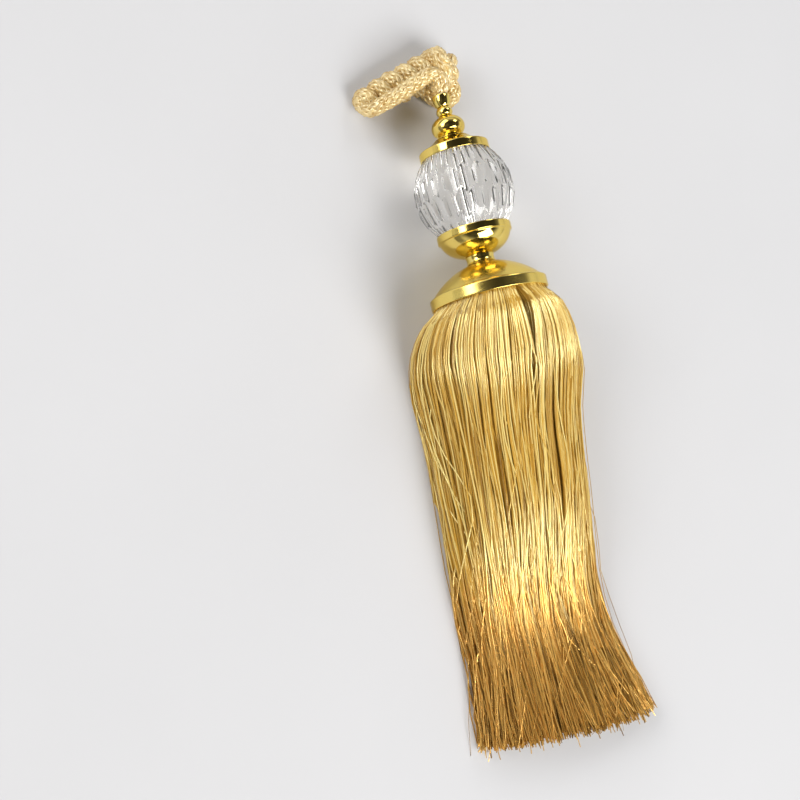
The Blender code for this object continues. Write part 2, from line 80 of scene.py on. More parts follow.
CUP_RADIUS, CUP_BAND, CUP_TOP, CUP_NECK, CUP_WALL = 0.0182, 0.0036, 0.0348, 0.0062, 0.0014
CUP_CONTROL = (0.0152, CUP_FOOT + 0.0020)  # the bowl is drawn toward it
CUP_LIP, CUP_BAND_STEP, CUP_HOLLOW = 0.00115, 0.0008, 0.0022
CRYSTAL_RADIUS, CRYSTAL_CENTRE, CRYSTAL_HALF, CRYSTAL_BORE = 0.0250, 0.0535, 0.0235, 0.0028
CRYSTAL_ROWS, FLUTES, FLUTE_COLUMNS = 112, 22, 12
CRISP = radians(9)  # edges sharper than this stay sharp in the shading
# Tiers of facets: heights of their middles from the crystal's, and half of a tier's height
TIERS, TIER_REACH = (0.0132, 0.0020, -0.0093, -0.0206), 0.0078
TIER_DEPTH, FACET_HOLLOW = 0.032, 0.030  # of the radius, cut at a tier's middle and at a facet's
CAP_RADIUS, CAP_FOOT, CAP_BAND, CAP_TOP, CAP_NECK = 0.0171, 0.0721, 0.0040, 0.0806, 0.0094
CAP_RIM, CAP_RECESS, CAP_CROWN, CAP_SHOULDER, CAP_HOLLOW = 0.00085, 0.0021, 0.0016, 0.0010, 0.0005
BALL_RADIUS, BALL_HALF, BALL_CENTRE, BALL_FOOT = 0.0082, 0.0060, 0.0869, 0.0084
BALL_HIGH, BALL_LOW = radians(62), radians(-50)
BEAD_RADIUS, BEAD_END, BEAD_FOOT, BEAD_TOP = 0.0040, 0.0031, 0.0927, 0.0970
SOCKET_RADIUS, SOCKET_TOP, SOCKET_HOLE, SOCKET_FLOOR = 0.0043, 0.1030, 0.0036, 0.1000
SOCKET_BULGE = 0.0005

# Where the head lies: the bell's band and the crystal both touch the surface
_apart = CRYSTAL_CENTRE - BELL_BAND
TILT = atan2(BELL_RADIUS, _apart) - asin(CRYSTAL_RADIUS / hypot(_apart, BELL_RADIUS))
RIM_HEIGHT = CRYSTAL_CENTRE * sin(TILT) + CRYSTAL_RADIUS
ROD_X = sum(corner.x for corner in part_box("bell")) / 2
RIM_Y = sum(corner.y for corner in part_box("crystal")) / 2 - CRYSTAL_CENTRE * cos(TILT)
HEAD = Matrix.Translation((ROD_X, RIM_Y, RIM_HEIGHT)) @ Matrix.Rotation(-pi / 2 - TILT, 4, "X")

# Sections of the fringe: run, middle, half width, low, high, and how far it has settled from bundle to pile
FRINGE_ROWS = np.array(
    (
        (0.0004, 0.0000, 0.0262, 0.0026, 0.0550, 0.00),
        (0.0060, 0.0010, 0.0338, 0.0000, 0.0566, 0.25),
        (0.0160, 0.0030, 0.0402, 0.0000, 0.0515, 0.60),
        (0.0310, 0.0050, 0.0435, 0.0000, 0.0422, 0.95),
        (0.0600, 0.0025, 0.0405, 0.0000, 0.0358, 1.00),
        (0.0980, -0.0002, 0.0388, 0.0000, 0.0328, 1.00),
        (0.1540, -0.0025, 0.0385, 0.0000, 0.0180, 1.00),
        (0.1650, -0.0018, 0.0390, 0.0000, 0.0170, 1.00),
        (0.2120, 0.0030, 0.0480, 0.0000, 0.0186, 1.00),
    )
)
CROWN_SHARE = 0.42  # height of the pile's middle strand, as a share of the fringe's height
CUT_RUN, CUT_SLANT, UNDER_SHORTER = 0.2120, 0.0020, 0.006
ROOT_RUN = -0.0030
SPLAY_START, TIP_SPLAY, CURL_START, TIP_CURL = 0.45, 0.12, 0.86, 0.035
ROOT_CROWDING = 1.7  # above 1, a strand's points lie closer together near its root
# Shells of strands, as shares of the bundle's radius
OUTER_SHELL, INNER_SHELL, SHELL_SPACING = 1.0, 0.898, 0.034
HEART_SHARES, HEART_FILL = np.arange(0.78, 0.05, -0.07), 0.62
FLYAWAYS = 26
PLACE_JITTER, SHARE_JITTER = 0.32, 0.012  # round a shell, of the spacing, and across it, of the radius
# Width of a strand: shares of its points, and of its radius there
STRAND_SHARES, STRAND_WIDTHS = (0, 0.03, 0.12, 0.84, 1), (0.65, 0.7, 1, 1, 0.62)
ODD_CUT_CHANCE, ODD_CUT = 0.05, 2.4  # strands that are cut more unevenly than the rest
TONE_SPREAD = 0.31
RESTING = 0.9  # lowest height of a strand, of its radius
# Wisps: how many, and how strongly they draw their strands together at shares of the length
UPPER_WISPS, UPPER_PULL = 560, ((0, 0.06, 0.2, 0.45, 0.65), (0, 0.10, 0.32, 0.25, 0))
LOWER_WISPS, LOWER_PULL = 430, ((0.2, 0.45, 0.75, 1), (0, 0.32, 0.42, 0.15))
WISP_WAVES, WISP_DRIFT = (0.6, 1.3, 2.1), 0.030
STRAND_WAVES = (0.7, 1.5, 2.6)
PARTING_OPENS, PARTING_CLOSES = 0.006, 0.02  # runs over which a parting opens and closes
PARTING_FLOOR, PARTING_BLEND, PARTING_REACH = 0.4, 0.2, 0.5  # how deep in the bundle, and how wide in radians
# Partings in the top of the fringe: angle, first and last run, half width in radians
PARTINGS = (
    (1.420, -0.0030, 0.0270, 0.066),
    (1.450, 0.0270, 0.0540, 0.040),
    (1.330, 0.0650, 0.1000, 0.012),
    (2.350, 0.0200, 0.0700, 0.018),
    (0.900, 0.0900, 0.1400, 0.014),
    (2.050, 0.1400, 0.1950, 0.020),
)

# Rope, in the hank's own frame
ROPE_RADIUS = 0.0042
ROPE_STEP = 0.00042  # between points of its route
CARRIERS, LAY_ANGLE = 8, radians(27)  # strands that run each way, and their slant along the rope
STRAND_SHARE, SWELL_SHARE = 0.275, 0.065  # a strand's radius and its rise over the next, of the rope's
CORE_SHARE, CORE_TONE = 0.8, 0.2
ROPE_ENTRY = ((0, 0.0035, 0.009), (0.80, 0.80, 1))  # how slim it is where it leaves the socket
ROPE_MOUTH = 0.0004  # height of its first points above the floor and the rim of the socket
TURN_STEPS, ROUTE_STEPS = 14, 24  # points to a turn, and steps from point to point
HANK = Matrix.Translation((ROD_X - 0.0109, RIM_Y + 0.1155, 0)) @ Matrix.Rotation(radians(15.4), 4, "Z")
WIND_START, WIND_END, WIND_PITCH = -0.0240, 0.0170, 0.0078
WIND_SLIM, WIND_FULL, WIND_GROWTH, WIND_SQUASH = 0.0024, 0.0065, 0.6, 0.93
WIND_FIRST_TURN = -3.25 + 30 / 360
PRESSED = 0.0006  # how far the winding is pressed flat on the surface
# End loops: centre, radius, swing, lean and start in degrees, and turns
HANK_LOOPS = (
    ((0.0180, -0.0012, 0.0112), 0.0074, -10, -6, 195, 0.95),
    ((0.0218, -0.0038, 0.0093), 0.0056, -38, 6, 200, 0.7),
)
FRONT_ROUTE = (
    (0.0094, -0.0108, 0.0222),
    (0.0102, -0.0066, 0.0226),
    (0.0066, -0.0036, 0.0222),
    (0.0005, -0.0040, 0.0204),
    (-0.0065, -0.0051, 0.0188),
    (-0.0130, -0.0057, 0.0168),
    (-0.0190, -0.0060, 0.0138),
    (-0.0234, -0.0054, 0.0094),
    (-0.0247, -0.0022, 0.0054),
)
BIGHT_ROUTE = (
    (0.0168, -0.0055, 0.0100),
    (0.0208, -0.0104, 0.0085),
    (0.0200, -0.0152, 0.0068),
    (0.0150, -0.0160, 0.0052),
    (0.0105, -0.0112, 0.0042),
    (0.0090, -0.0060, 0.0042),
)

# Camera, from the photograph
CAMERA_PLACE = Vector((-0.23723, -0.01429, 0.61148))
CAMERA_RIGHT = Vector((0.936078, -0.209354, 0.282276))
CAMERA_DOWN = Vector((-0.191075, -0.977362, -0.090799))
CAMERA_AIM = Vector((0.294876, 0.031089, -0.954893))
CAMERA_LENS, CAMERA_SENSOR, CAMERA_NEAR = 59.0, 36.0, 0.01

# Lights: name, direction and distance from the origin, size, power and colour
SOFTBOXES = (
    ("side_softbox", (-0.78, 0.28, 0.58), 1.3, (0.7, 0.45), 4.0, (1.0, 0.98, 0.95)),
    ("front_softbox", (0.28, -0.62, 0.71), 2.4, (1.7, 1.25), 59.0, (1.0, 0.99, 0.97)),
    ("back_panel", (-0.55, 0.65, 0.50), 2.2, (2.2, 1.2), 19.0, (1.0, 0.99, 0.98)),
    ("back_softbox", (0.525, 0.588, 0.612), 1.2, (0.35, 0.35), 2.0, (1.0, 1.0, 1.0)),
)
# The room's colours, from level to straight up
ROOM = (
    (0.0, (0.80, 0.79, 0.77)),
    (0.34, (0.90, 0.89, 0.87)),
    (0.62, (0.15, 0.145, 0.135)),
    (1.0, (0.11, 0.105, 0.10)),
)
ROOM_STRENGTH, FLOOR_HALF = 0.90, 4.0


# ---- settings


class TasselSizes(bpy.types.PropertyGroup):
    strand_radius: FloatProperty(
        name="Strand Radius",
        description="Radius of one strand of the fringe's yarn",
        default=0.00043,
        unit="LENGTH",
        precision=5,
    )
    strands: IntProperty(
        name="Strands",
        description="Number of strands in each shell of the fringe",
        default=245,
        min=20,
    )
    rope_radius: FloatProperty(
        name="Rope Radius",
        description="Radius of the braided rope",
        default=ROPE_RADIUS,
        unit="LENGTH",
        precision=5,
    )
    turned_segments: IntProperty(
        name="Segments",
        description="Segments around each turned metal piece",
        default=96,
        min=12,
    )


def colour(name, description, default):
    return FloatVectorProperty(
        name=name, description=description, default=default, subtype="COLOR", min=0, max=1
    )


class TasselColours(bpy.types.PropertyGroup):
    gold: colour("Gold", "Polished plate of the metal pieces", (0.88, 0.68, 0.18))
    # The pale stop is the palest random tone and also a painted highlight: loose strands are given it as if
    # they catch the light
    yarn_pale: colour("Pale Yarn", "Loose strands that catch the light", (0.95, 0.72, 0.24))
    yarn_light: colour("Light Yarn", "Light strands of the fringe", (0.72, 0.40, 0.048))
    yarn_dark: colour("Dark Yarn", "Deepest strands of the fringe", (0.24, 0.098, 0.008))
    rope_light: colour("Light Rope", "Palest strands of the rope", (0.90, 0.68, 0.31))
    rope_dark: colour("Dark Rope", "Deepest strands of the rope", (0.56, 0.33, 0.09))
    floor: colour("Floor", "Surface that the tassel lies on", (0.655, 0.658, 0.678))


def sizes():
    return bpy.context.scene.tassel_sizes


def colours():
    return bpy.context.scene.tassel_colours


# ---- node helpers


def add_node(tree, kind, inputs=None, **settings):
    """A node of a kind, with its settings, and its inputs given as values or as sockets to link from."""
    node = tree.nodes.new(kind)
    for name, value in settings.items():
        setattr(node, name, value)
    for key, value in (inputs or {}).items():
        socket = node.inputs[key]
        if isinstance(value, bpy.types.NodeSocket):
            tree.links.new(value, socket)
        else:
            socket.default_value = value
    return node


def ramp(tree, factor, stops):
    """A colour ramp on a factor, with stops of (position, colour or grey)."""
    node = add_node(tree, "ShaderNodeValToRGB", {"Fac": factor})
    elements = node.color_ramp.elements
    while len(elements) < len(stops):
        elements.new(0.5)
    for element, (position, shade) in zip(elements, stops):
        element.position = position
        element.color = (*shade, 1) if isinstance(shade, (tuple, list)) else (shade, shade, shade, 1)
    return node.outputs["Color"]


def maths(tree, operation, a, b=0.0):
    return add_node(tree, "ShaderNodeMath", {0: a, 1: b}, operation=operation).outputs[0]


def mix(tree, factor, a, b, blend="MIX"):
    node = add_node(tree, "ShaderNodeMix", data_type="RGBA", blend_type=blend)
    for socket, value in ((node.inputs[0], factor), (node.inputs[6], a), (node.inputs[7], b)):
        if isinstance(value, bpy.types.NodeSocket):
            tree.links.new(value, socket)
        else:
            socket.default_value = (*value, 1) if isinstance(value, (tuple, list)) else value
    return node.outputs[2]


def node_group(name, inputs, outputs):
    """An empty shader group with float, vector or colour sockets, given as (name, kind, default)."""
    group = bpy.data.node_groups.new(name, "ShaderNodeTree")
    for label, kind, default in inputs:
        socket = group.interface.new_socket(label, in_out="INPUT", socket_type="NodeSocket" + kind)
        if default is not None:
            socket.default_value = default
    for label, kind in outputs:
        group.interface.new_socket(label, in_out="OUTPUT", socket_type="NodeSocket" + kind)
    return group, group.nodes.new("NodeGroupInput"), group.nodes.new("NodeGroupOutput")


def handling_group():
    """Faint smears and fine scratches from handling, as a roughness and a height."""
    group, given, made = node_group(
        "Handling",
        (
            ("Vector", "Vector", None),
            ("Smear Scale", "Float", 60.0),
            ("Clean", "Float", 0.05),
            ("Smeared", "Float", 0.16),
        ),
        (("Roughness", "Float"), ("Height", "Float")),
    )
    place, scale = given.outputs["Vector"], given.outputs["Smear Scale"]
    smear = add_node(
        group, "ShaderNodeTexNoise", {"Vector": place, "Scale": scale, "Detail": 4, "Roughness": 0.6}
    )
    low = add_node(
        group,
        "ShaderNodeMapRange",
        {
            "Value": smear.outputs["Fac"],
            "From Min": 0.42,
            "From Max": 0.72,
            "To Min": given.outputs["Clean"],
            "To Max": given.outputs["Smeared"],
        },
    )
    scratch = add_node(
        group, "ShaderNodeTexNoise", {"Vector": place, "Scale": 900.0, "Detail": 3, "Distortion": 2.0}
    )
    group.links.new(low.outputs["Result"], made.inputs["Roughness"])
    group.links.new(scratch.outputs["Fac"], made.inputs["Height"])
    return group


def fibre_group():
    """Twisted fibres along a strand that has its length in U and its girth in V, as a shade and a height."""
    group, given, made = node_group(
        "Fibre",
        (
            ("UV", "Vector", None),
            ("Tone", "Float", 0.5),
            ("Fibres", "Float", 6.0),
            ("Length", "Float", 40.0),
            ("Twist", "Float", 8.0),
        ),
        (("Shade", "Float"), ("Height", "Float")),
    )
    split = add_node(group, "ShaderNodeSeparateXYZ", {"Vector": given.outputs["UV"]})
    turned_by = maths(group, "MULTIPLY", split.outputs["X"], given.outputs["Twist"])
    around = maths(group, "ADD", split.outputs["Y"], turned_by)
    lane = maths(group, "MULTIPLY", around, given.outputs["Fibres"])
    along = maths(group, "MULTIPLY", split.outputs["X"], given.outputs["Length"])
    place = add_node(
        group,
        "ShaderNodeCombineXYZ",
        {"X": lane, "Y": along, "Z": maths(group, "MULTIPLY", given.outputs["Tone"], 97.0)},
    )
    fibres = add_node(
        group,
        "ShaderNodeTexNoise",
        {"Vector": place.outputs["Vector"], "Scale": 1.0, "Detail": 2, "Roughness": 0.5},
    )
    from_tone = maths(group, "MULTIPLY", given.outputs["Tone"], 0.72)
    from_fibres = maths(group, "MULTIPLY", fibres.outputs["Fac"], 0.36)
    shade = maths(group, "ADD", from_tone, from_fibres)
    group.links.new(shade, made.inputs["Shade"])
    group.links.new(fibres.outputs["Fac"], made.inputs["Height"])
    return group


def use_group(tree, name, inputs):
    node = tree.nodes.new("ShaderNodeGroup")
    node.node_tree = bpy.data.node_groups[name]
    for key, value in inputs.items():
        if isinstance(value, bpy.types.NodeSocket):
            tree.links.new(value, node.inputs[key])
        else:
            node.inputs[key].default_value = value
    return node


def handled(tree, place, scale, clean, smeared):
    """The Handling group in a material, its smears of a scale and its roughness from clean to smeared."""
    inputs = {"Vector": place, "Smear Scale": scale, "Clean": clean, "Smeared": smeared}
    return use_group(tree, "Handling", inputs)


def new_material(name, **constants):
    """A node material with constants on its Principled shader's own sockets."""
    made = bpy.data.materials.new(name)
    made.use_nodes = True
    shader = made.node_tree.nodes["Principled BSDF"]
    for key, value in constants.items():
        shader.inputs[key.replace("_", " ")].default_value = value
    return made, made.node_tree, shader


# ---- materials


def gold_material(name, clean, smeared):
    """Gold plate, its roughness between clean and smeared, with a slightly uneven tone."""
    made, tree, shader = new_material(name, Metallic=1.0, Specular_Tint=(0.95, 0.88, 0.66, 1))
    place = add_node(tree, "ShaderNodeTexCoord").outputs["Object"]
    tone = add_node(tree, "ShaderNodeTexNoise", {"Vector": place, "Scale": 45.0, "Detail": 3})
    gold = colours().gold
    deep = (gold[0] * 0.93, gold[1] * 0.86, gold[2] * 0.74)
    pale = (min(1, gold[0] * 1.02), gold[1] * 1.05, gold[2] * 1.15)
    shade = ramp(tree, tone.outputs["Fac"], ((0.3, deep), (0.7, pale)))
    tree.links.new(shade, shader.inputs["Base Color"])
    handling = handled(tree, place, 70.0, clean, smeared)
    tree.links.new(handling.outputs["Roughness"], shader.inputs["Roughness"])
    bump = add_node(
        tree, "ShaderNodeBump", {"Height": handling.outputs["Height"], "Strength": 0.04, "Distance": 0.0002}
    )
    tree.links.new(bump.outputs["Normal"], shader.inputs["Normal"])
    return made


def steel_material():
    """Bright steel of the rod inside the crystal."""
    made, tree, shader = new_material("bright_steel", Metallic=1.0)
    place = add_node(tree, "ShaderNodeTexCoord").outputs["Object"]
    handling = handled(tree, place, 120.0, 0.18, 0.34)
    tree.links.new(handling.outputs["Roughness"], shader.inputs["Roughness"])
    shade = ramp(tree, handling.outputs["Height"], ((0.3, (0.78, 0.78, 0.79)), (0.7, (0.93, 0.93, 0.94))))
    tree.links.new(shade, shader.inputs["Base Color"])
    return made


def crystal_material():
    """Clear cut crystal with a few smears."""
    # The glass's faint warm tint is a painted reflection of warm things seen through the crystal
    made, tree, shader = new_material(
        "cut_crystal", Base_Color=(1.0, 0.99, 0.965, 1), Transmission_Weight=1.0, IOR=1.53
    )
    place = add_node(tree, "ShaderNodeTexCoord").outputs["Object"]
    handling = handled(tree, place, 90.0, 0.0, 0.045)
    tree.links.new(handling.outputs["Roughness"], shader.inputs["Roughness"])
    # Light passes straight through to what lies behind the crystal, so that its shadow is a faint one
    ray = add_node(tree, "ShaderNodeLightPath").outputs["Is Shadow Ray"]
    clear = add_node(tree, "ShaderNodeBsdfTransparent")
    passing = add_node(tree, "ShaderNodeMixShader", {0: maths(tree, "MULTIPLY", ray, 0.76)})
    tree.links.new(shader.outputs["BSDF"], passing.inputs[1])
    tree.links.new(clear.outputs["BSDF"], passing.inputs[2])
    tree.links.new(passing.outputs["Shader"], tree.nodes["Material Output"].inputs["Surface"])
    return made


def strand_material(name, shades, gloss, fibres, length, twist, threads=0.0, tip_shade=None):
    """Yarn or braid: every strand has its own tone, and fibres that twist along it.

    Shades are stops of (tone, colour). Gloss is a refractive index, a tint and a roughness. Threads is how
    strongly the palest fibres stand out. Tip shade is painted shade toward each strand's tip: where along a
    strand it starts and where it is full, and how far it turns the sheen metallic there, so that the sheen
    takes on the darkened colour and the tips read darker and duller.
    """
    index, tint, roughness = gloss
    made, tree, shader = new_material(name, Roughness=roughness, IOR=index, Specular_Tint=(*tint, 1))
    uv = add_node(tree, "ShaderNodeUVMap").outputs["UV"]
    tone = add_node(tree, "ShaderNodeAttribute", attribute_name="tone").outputs["Fac"]
    fibre = use_group(
        tree, "Fibre", {"UV": uv, "Tone": tone, "Fibres": fibres, "Length": length, "Twist": twist}
    )
    shade = ramp(tree, fibre.outputs["Shade"], [(at, tuple(hue)) for at, hue in shades])
    if threads:
        mask = ramp(tree, fibre.outputs["Height"], ((0.54, 0.0), (0.64, threads)))
        shade = mix(tree, mask, shade, (1.0, 0.90, 0.62))
    # Painted shade toward each strand's tip: the colour darkens and the sheen turns metallic, so the tips
    # read as lying out of the light
    if tip_shade:
        start, end, tip_sheen_shade = tip_shade
        along = add_node(tree, "ShaderNodeSeparateXYZ", {"Vector": uv}).outputs["X"]
        reach = maths(tree, "ADD", along, maths(tree, "MULTIPLY", tone, 0.10))
        mask = ramp(tree, reach, ((start, 0.0), (end, 1.0)))
        # Colour of the painted shade at the tips, deeper for darker strands
        dull = ramp(tree, tone, ((0.15, (0.24, 0.098, 0.009)), (1.0, (1.0, 0.55, 0.125))))
        shade = mix(tree, maths(tree, "MULTIPLY", mask, 0.78), shade, dull)
        tree.links.new(maths(tree, "MULTIPLY", mask, tip_sheen_shade), shader.inputs["Metallic"])
    tree.links.new(shade, shader.inputs["Base Color"])
    bump = add_node(
        tree, "ShaderNodeBump", {"Height": fibre.outputs["Height"], "Strength": 0.35, "Distance": 0.0003}
    )
    tree.links.new(bump.outputs["Normal"], shader.inputs["Normal"])
    return made


def floor_material():
    """A plain, pale surface with a faintly uneven tone."""
    made, tree, shader = new_material("plain_floor", Roughness=0.75)
    place = add_node(tree, "ShaderNodeTexCoord").outputs["Object"]
    grain = add_node(tree, "ShaderNodeTexNoise", {"Vector": place, "Scale": 6.0, "Detail": 5})
    tone = colours().floor
    dull = tuple(c * 0.97 for c in tone)
    shade = ramp(tree, grain.outputs["Fac"], ((0.3, dull), (0.7, tuple(tone))))
    tree.links.new(shade, shader.inputs["Base Color"])
    return made


# ---- mesh helpers


def add_piece(name, mesh, material, replaced):
    """A finished piece: an object at the origin that rides on the body and stands for CAD nodes."""
    piece = bpy.data.objects.new(name, mesh)
    bpy.context.scene.collection.objects.link(piece)
    mesh.materials.append(material)
    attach(piece, "root")
    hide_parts(*replaced)


def arc(start, end, bulge, steps):
    """Points from start to end, both (radius, height), on an arc that stands bulge proud of its chord."""
    along = Vector(end) - Vector(start)
    proud = Vector((-along.y, along.x)).normalized() * bulge
    shares = [i / steps for i in range(steps + 1)]
    return [tuple(Vector(start) + along * t + proud * 4 * t * (1 - t)) for t in shares]


def bent(start, control, end, steps):
    """Points from start to end, both (radius, height), on a curve drawn toward a control point."""
    shares = [i / steps for i in range(steps + 1)]
    start, control, end = Vector(start), Vector(control), Vector(end)
    return [tuple(start * (1 - t) ** 2 + control * 2 * t * (1 - t) + end * t**2) for t in shares]


def eased(profile, size, sharp=radians(18)):
    """The closed profile with its sharp corners rounded, and a point near both ends of its long sides."""
    points = [Vector(point) for point in profile]
    made = []
    for i, point in enumerate(points):
        before, after = points[i - 1] - point, points[(i + 1) % len(points)] - point
        if before.length < MERGE or after.length < MERGE:
            continue
        if pi - before.angle(after) < sharp or point.x < MERGE:
            made.append(point)
            continue
        cut = min(size, CORNER_SHARE * before.length, CORNER_SHARE * after.length)
        start, end = point + before.normalized() * cut, point + after.normalized() * cut
        for step in range(CORNER_STEPS + 1):
            t = step / CORNER_STEPS
            made.append(start * (1 - t) ** 2 + point * 2 * t * (1 - t) + end * t**2)
    held = []
    for i, point in enumerate(made):
        held.append(point)
        following = made[(i + 1) % len(made)]
        side = following - point
        if side.length > LONG_SIDE:
            held += [point + side.normalized() * HELD, following - side.normalized() * HELD]
    return held


def turned(name, profile, material, replaced, closed=True, corner=0.0004):
    """A piece turned about the rod from a (radius, height) profile."""
    bm = bmesh.new()
    points = eased(profile, corner) if closed else [Vector(point) for point in profile]
    verts = [bm.verts.new((max(0, point.x), 0, point.y)) for point in points]
    pairs = list(zip(verts, verts[1:]))
    if closed:
        pairs.append((verts[-1], verts[0]))
    edges = [bm.edges.new(pair) for pair in pairs]
    bmesh.ops.spin(
        bm,
        geom=verts + edges,
        axis=(0, 0, 1),
        cent=(0, 0, 0),
        angle=tau,
        steps=sizes().turned_segments,
        use_merge=True,
    )
    bmesh.ops.remove_doubles(bm, verts=bm.verts, dist=MERGE / 4)
    bmesh.ops.recalc_face_normals(bm, faces=bm.faces)
    bm.transform(HEAD)
    mesh = bpy.data.meshes.new(name)
    bm.to_mesh(mesh)
    bm.free()
    mesh.shade_smooth()
    add_piece(name, mesh, material, replaced)


def strand_mesh(name, paths, radii, tones, roundness=0):
    """One mesh of many round strands, each with its own tone. Paths is (strand, point, xyz)."""
    curve = bpy.data.curves.new(name, "CURVE")
    curve.dimensions = "3D"
    curve.bevel_depth = 1.0
    curve.bevel_resolution = roundness
    curve.use_fill_caps = True
    count, points = paths.shape[:2]
    for path, radius in zip(paths, radii):
        spline = curve.splines.new("POLY")
        spline.points.add(points - 1)
        spline.points.foreach_set("co", np.column_stack((path, np.ones(points))).ravel())
        spline.points.foreach_set("radius", radius)
        spline.use_smooth = True
    holder = bpy.data.objects.new(name, curve)
    bpy.context.scene.collection.objects.link(holder)
    graph = bpy.context.evaluated_depsgraph_get()
    mesh = bpy.data.meshes.new_from_object(holder.evaluated_get(graph))
    bpy.data.objects.remove(holder)
    bpy.data.curves.remove(curve)
    mesh.name = name
    # The caps of all strands come first, the last strand's before the others, and then each strand's sides.
    sides = len(mesh.vertices) // (count * (points + 2))
    caps = np.repeat(tones[::-1], 2 * sides)
    sides = np.repeat(tones, sides * points)
    attribute = mesh.attributes.new("tone", "FLOAT", "POINT")
    attribute.data.foreach_set("value", np.concatenate((caps, sides)).astype(np.float32))
    return mesh


# ---- metal


def bell_profile():
    skirt, ceiling = BELL_RADIUS - BELL_WALL, BELL_TOP - BELL_CROWN
    return [
        *bent((COLLAR_RADIUS + 0.0002, DOME_TOP), DOME_CONTROL, (skirt, BELL_BAND + 0.0004), DOME_STEPS),
        (BELL_RADIUS, BELL_BAND),
        (BELL_RADIUS, 0),
        (skirt, 0),
        *arc((skirt - 0.0002, BELL_BAND - 0.0006), (BELL_NECK, ceiling), -BELL_HOLLOW, HOLLOW_STEPS),
        (BORE, ceiling),
        (BORE, DOME_TOP),
    ]


def collar_profile():
    foot, top = DOME_TOP + 0.0001, CUP_FOOT + 0.0001
    neck = (COLLAR_RADIUS + 0.0002, COLLAR_TOP - 0.0004)
    return [
        (COLLAR_RADIUS + 0.0003, top),
        *arc(neck, (COLLAR_RADIUS + COLLAR_FLARE, foot), -COLLAR_HOLLOW, NECK_STEPS),
        (BORE, foot),
        (BORE, top),
    ]


def cup_profile():
    foot, band = CUP_FOOT, CUP_TOP - CUP_BAND
    return [
        (CUP_RADIUS, CUP_TOP),
        (CUP_RADIUS, band),
        *bent((CUP_RADIUS - CUP_BAND_STEP, band - 0.0003), CUP_CONTROL, (CUP_NECK, foot), DOME_STEPS),
        (BORE, foot),
        (BORE, foot + CUP_WALL),
        *arc((CUP_NECK - 0.0004, foot + CUP_WALL), (CUP_RADIUS - 0.0022, band), -CUP_HOLLOW, HOLLOW_STEPS),
        (CUP_RADIUS - CUP_LIP, CUP_TOP),
    ]


def cap_profile():
    band, inner, ceiling = CAP_FOOT + CAP_BAND, CAP_RADIUS - CAP_RIM, CAP_TOP - CAP_CROWN
    neck, shoulder = (CAP_NECK, CAP_TOP - 0.0003), (CAP_RADIUS - CAP_SHOULDER, band + 0.0004)
    return [
        (CAP_NECK - 0.0006, CAP_TOP),
        *arc(neck, shoulder, -CAP_HOLLOW, NECK_STEPS),
        (CAP_RADIUS, band),
        (CAP_RADIUS, CAP_FOOT),
        (inner, CAP_FOOT),
        (inner - 0.0004, CAP_FOOT + CAP_RECESS),
        (CAP_NECK - 0.0012, ceiling),
        (BORE, ceiling),
        (BORE, CAP_TOP),
    ]


def ball_profile():
    foot = CAP_TOP + GAP
    angles = [BALL_HIGH + (BALL_LOW - BALL_HIGH) * i / BALL_STEPS for i in range(BALL_STEPS + 1)]
    ball = [(BALL_RADIUS * cos(a), BALL_CENTRE + BALL_HALF * sin(a)) for a in angles]
    top = ball[0][1]
    waist = (ball[-1][0] + 0.0002, ball[-1][1] - 0.0003)
    flare = bent(waist, (waist[0] + 0.0002, foot + 0.0003), (BALL_FOOT, foot + 0.0002), HOLLOW_STEPS)
    return [(BORE, top), *ball, *flare, (BALL_FOOT, foot), (BORE, foot)]


def bead_profile():
    return [
        *arc((BEAD_END, BEAD_TOP), (BEAD_END, BEAD_FOOT), BEAD_RADIUS - BEAD_END, BEAD_STEPS),
        (BORE, BEAD_FOOT),
        (BORE, BEAD_TOP),
    ]


def socket_profile():
    foot = BEAD_TOP + GAP
    return [
        *arc((SOCKET_RADIUS, SOCKET_TOP), (BEAD_END, foot), SOCKET_BULGE, NECK_STEPS),
        (BORE, foot),
        (BORE, SOCKET_FLOOR),
        (SOCKET_HOLE, SOCKET_FLOOR),
        (SOCKET_HOLE, SOCKET_TOP),
    ]


class TASSEL_OT_metal(bpy.types.Operator):
    """Turn the bell, collar, cup, cap, finial and rod"""

    bl_idname = "tassel.metal"
    bl_label = "Turned Metal"

    def execute(self, context):
        gold = gold_material("polished_gold", 0.08, 0.16)
        satin = gold_material("satin_gold", 0.20, 0.29)
        # Name, outline, node that it stands for, and how far its corners are rounded
        pieces = (
            ("bell_shell", bell_profile(), "bell", 0.0005),
            ("collar_ring", collar_profile(), "collar", 0.0004),
            ("cup_shell", cup_profile(), "cup", 0.0005),
            ("cap_shell", cap_profile(), "top_cap", 0.0004),
            ("ball_finial", ball_profile(), "finial_ball", 0.0003),
            ("bead_ring", bead_profile(), "finial_bead", 0.0003),
            ("socket_sleeve", socket_profile(), "rope_socket", 0.0002),
        )
        for name, profile, node, corner in pieces:
            turned(name, profile, satin if node == "bell" else gold, [node], corner=corner)
        rod = [(0, ROD_TOP), (ROD_RADIUS, ROD_TOP), (ROD_RADIUS, ROD_FOOT), (0, ROD_FOOT)]
        turned("centre_rod", rod, steel_material(), ["rod"], closed=False)
        return {"FINISHED"}


# ---- crystal


def crystal_radius(angle, height, radius):
    """The cut surface: tiers of long hollow facets, each tier half a facet round from the next."""
    pitch = tau / FLUTES
    cut = radius
    for tier, middle in enumerate(TIERS):
        across = (angle / pitch + 0.5 * tier) % 1 - 0.5
        hollow = 1 - FACET_HOLLOW * (1 - (2 * across) ** 2)
        ends = 1 - TIER_DEPTH * (1 - ((height - middle) / TIER_REACH) ** 2)
        cut = min(cut, radius * hollow * ends)
    return cut


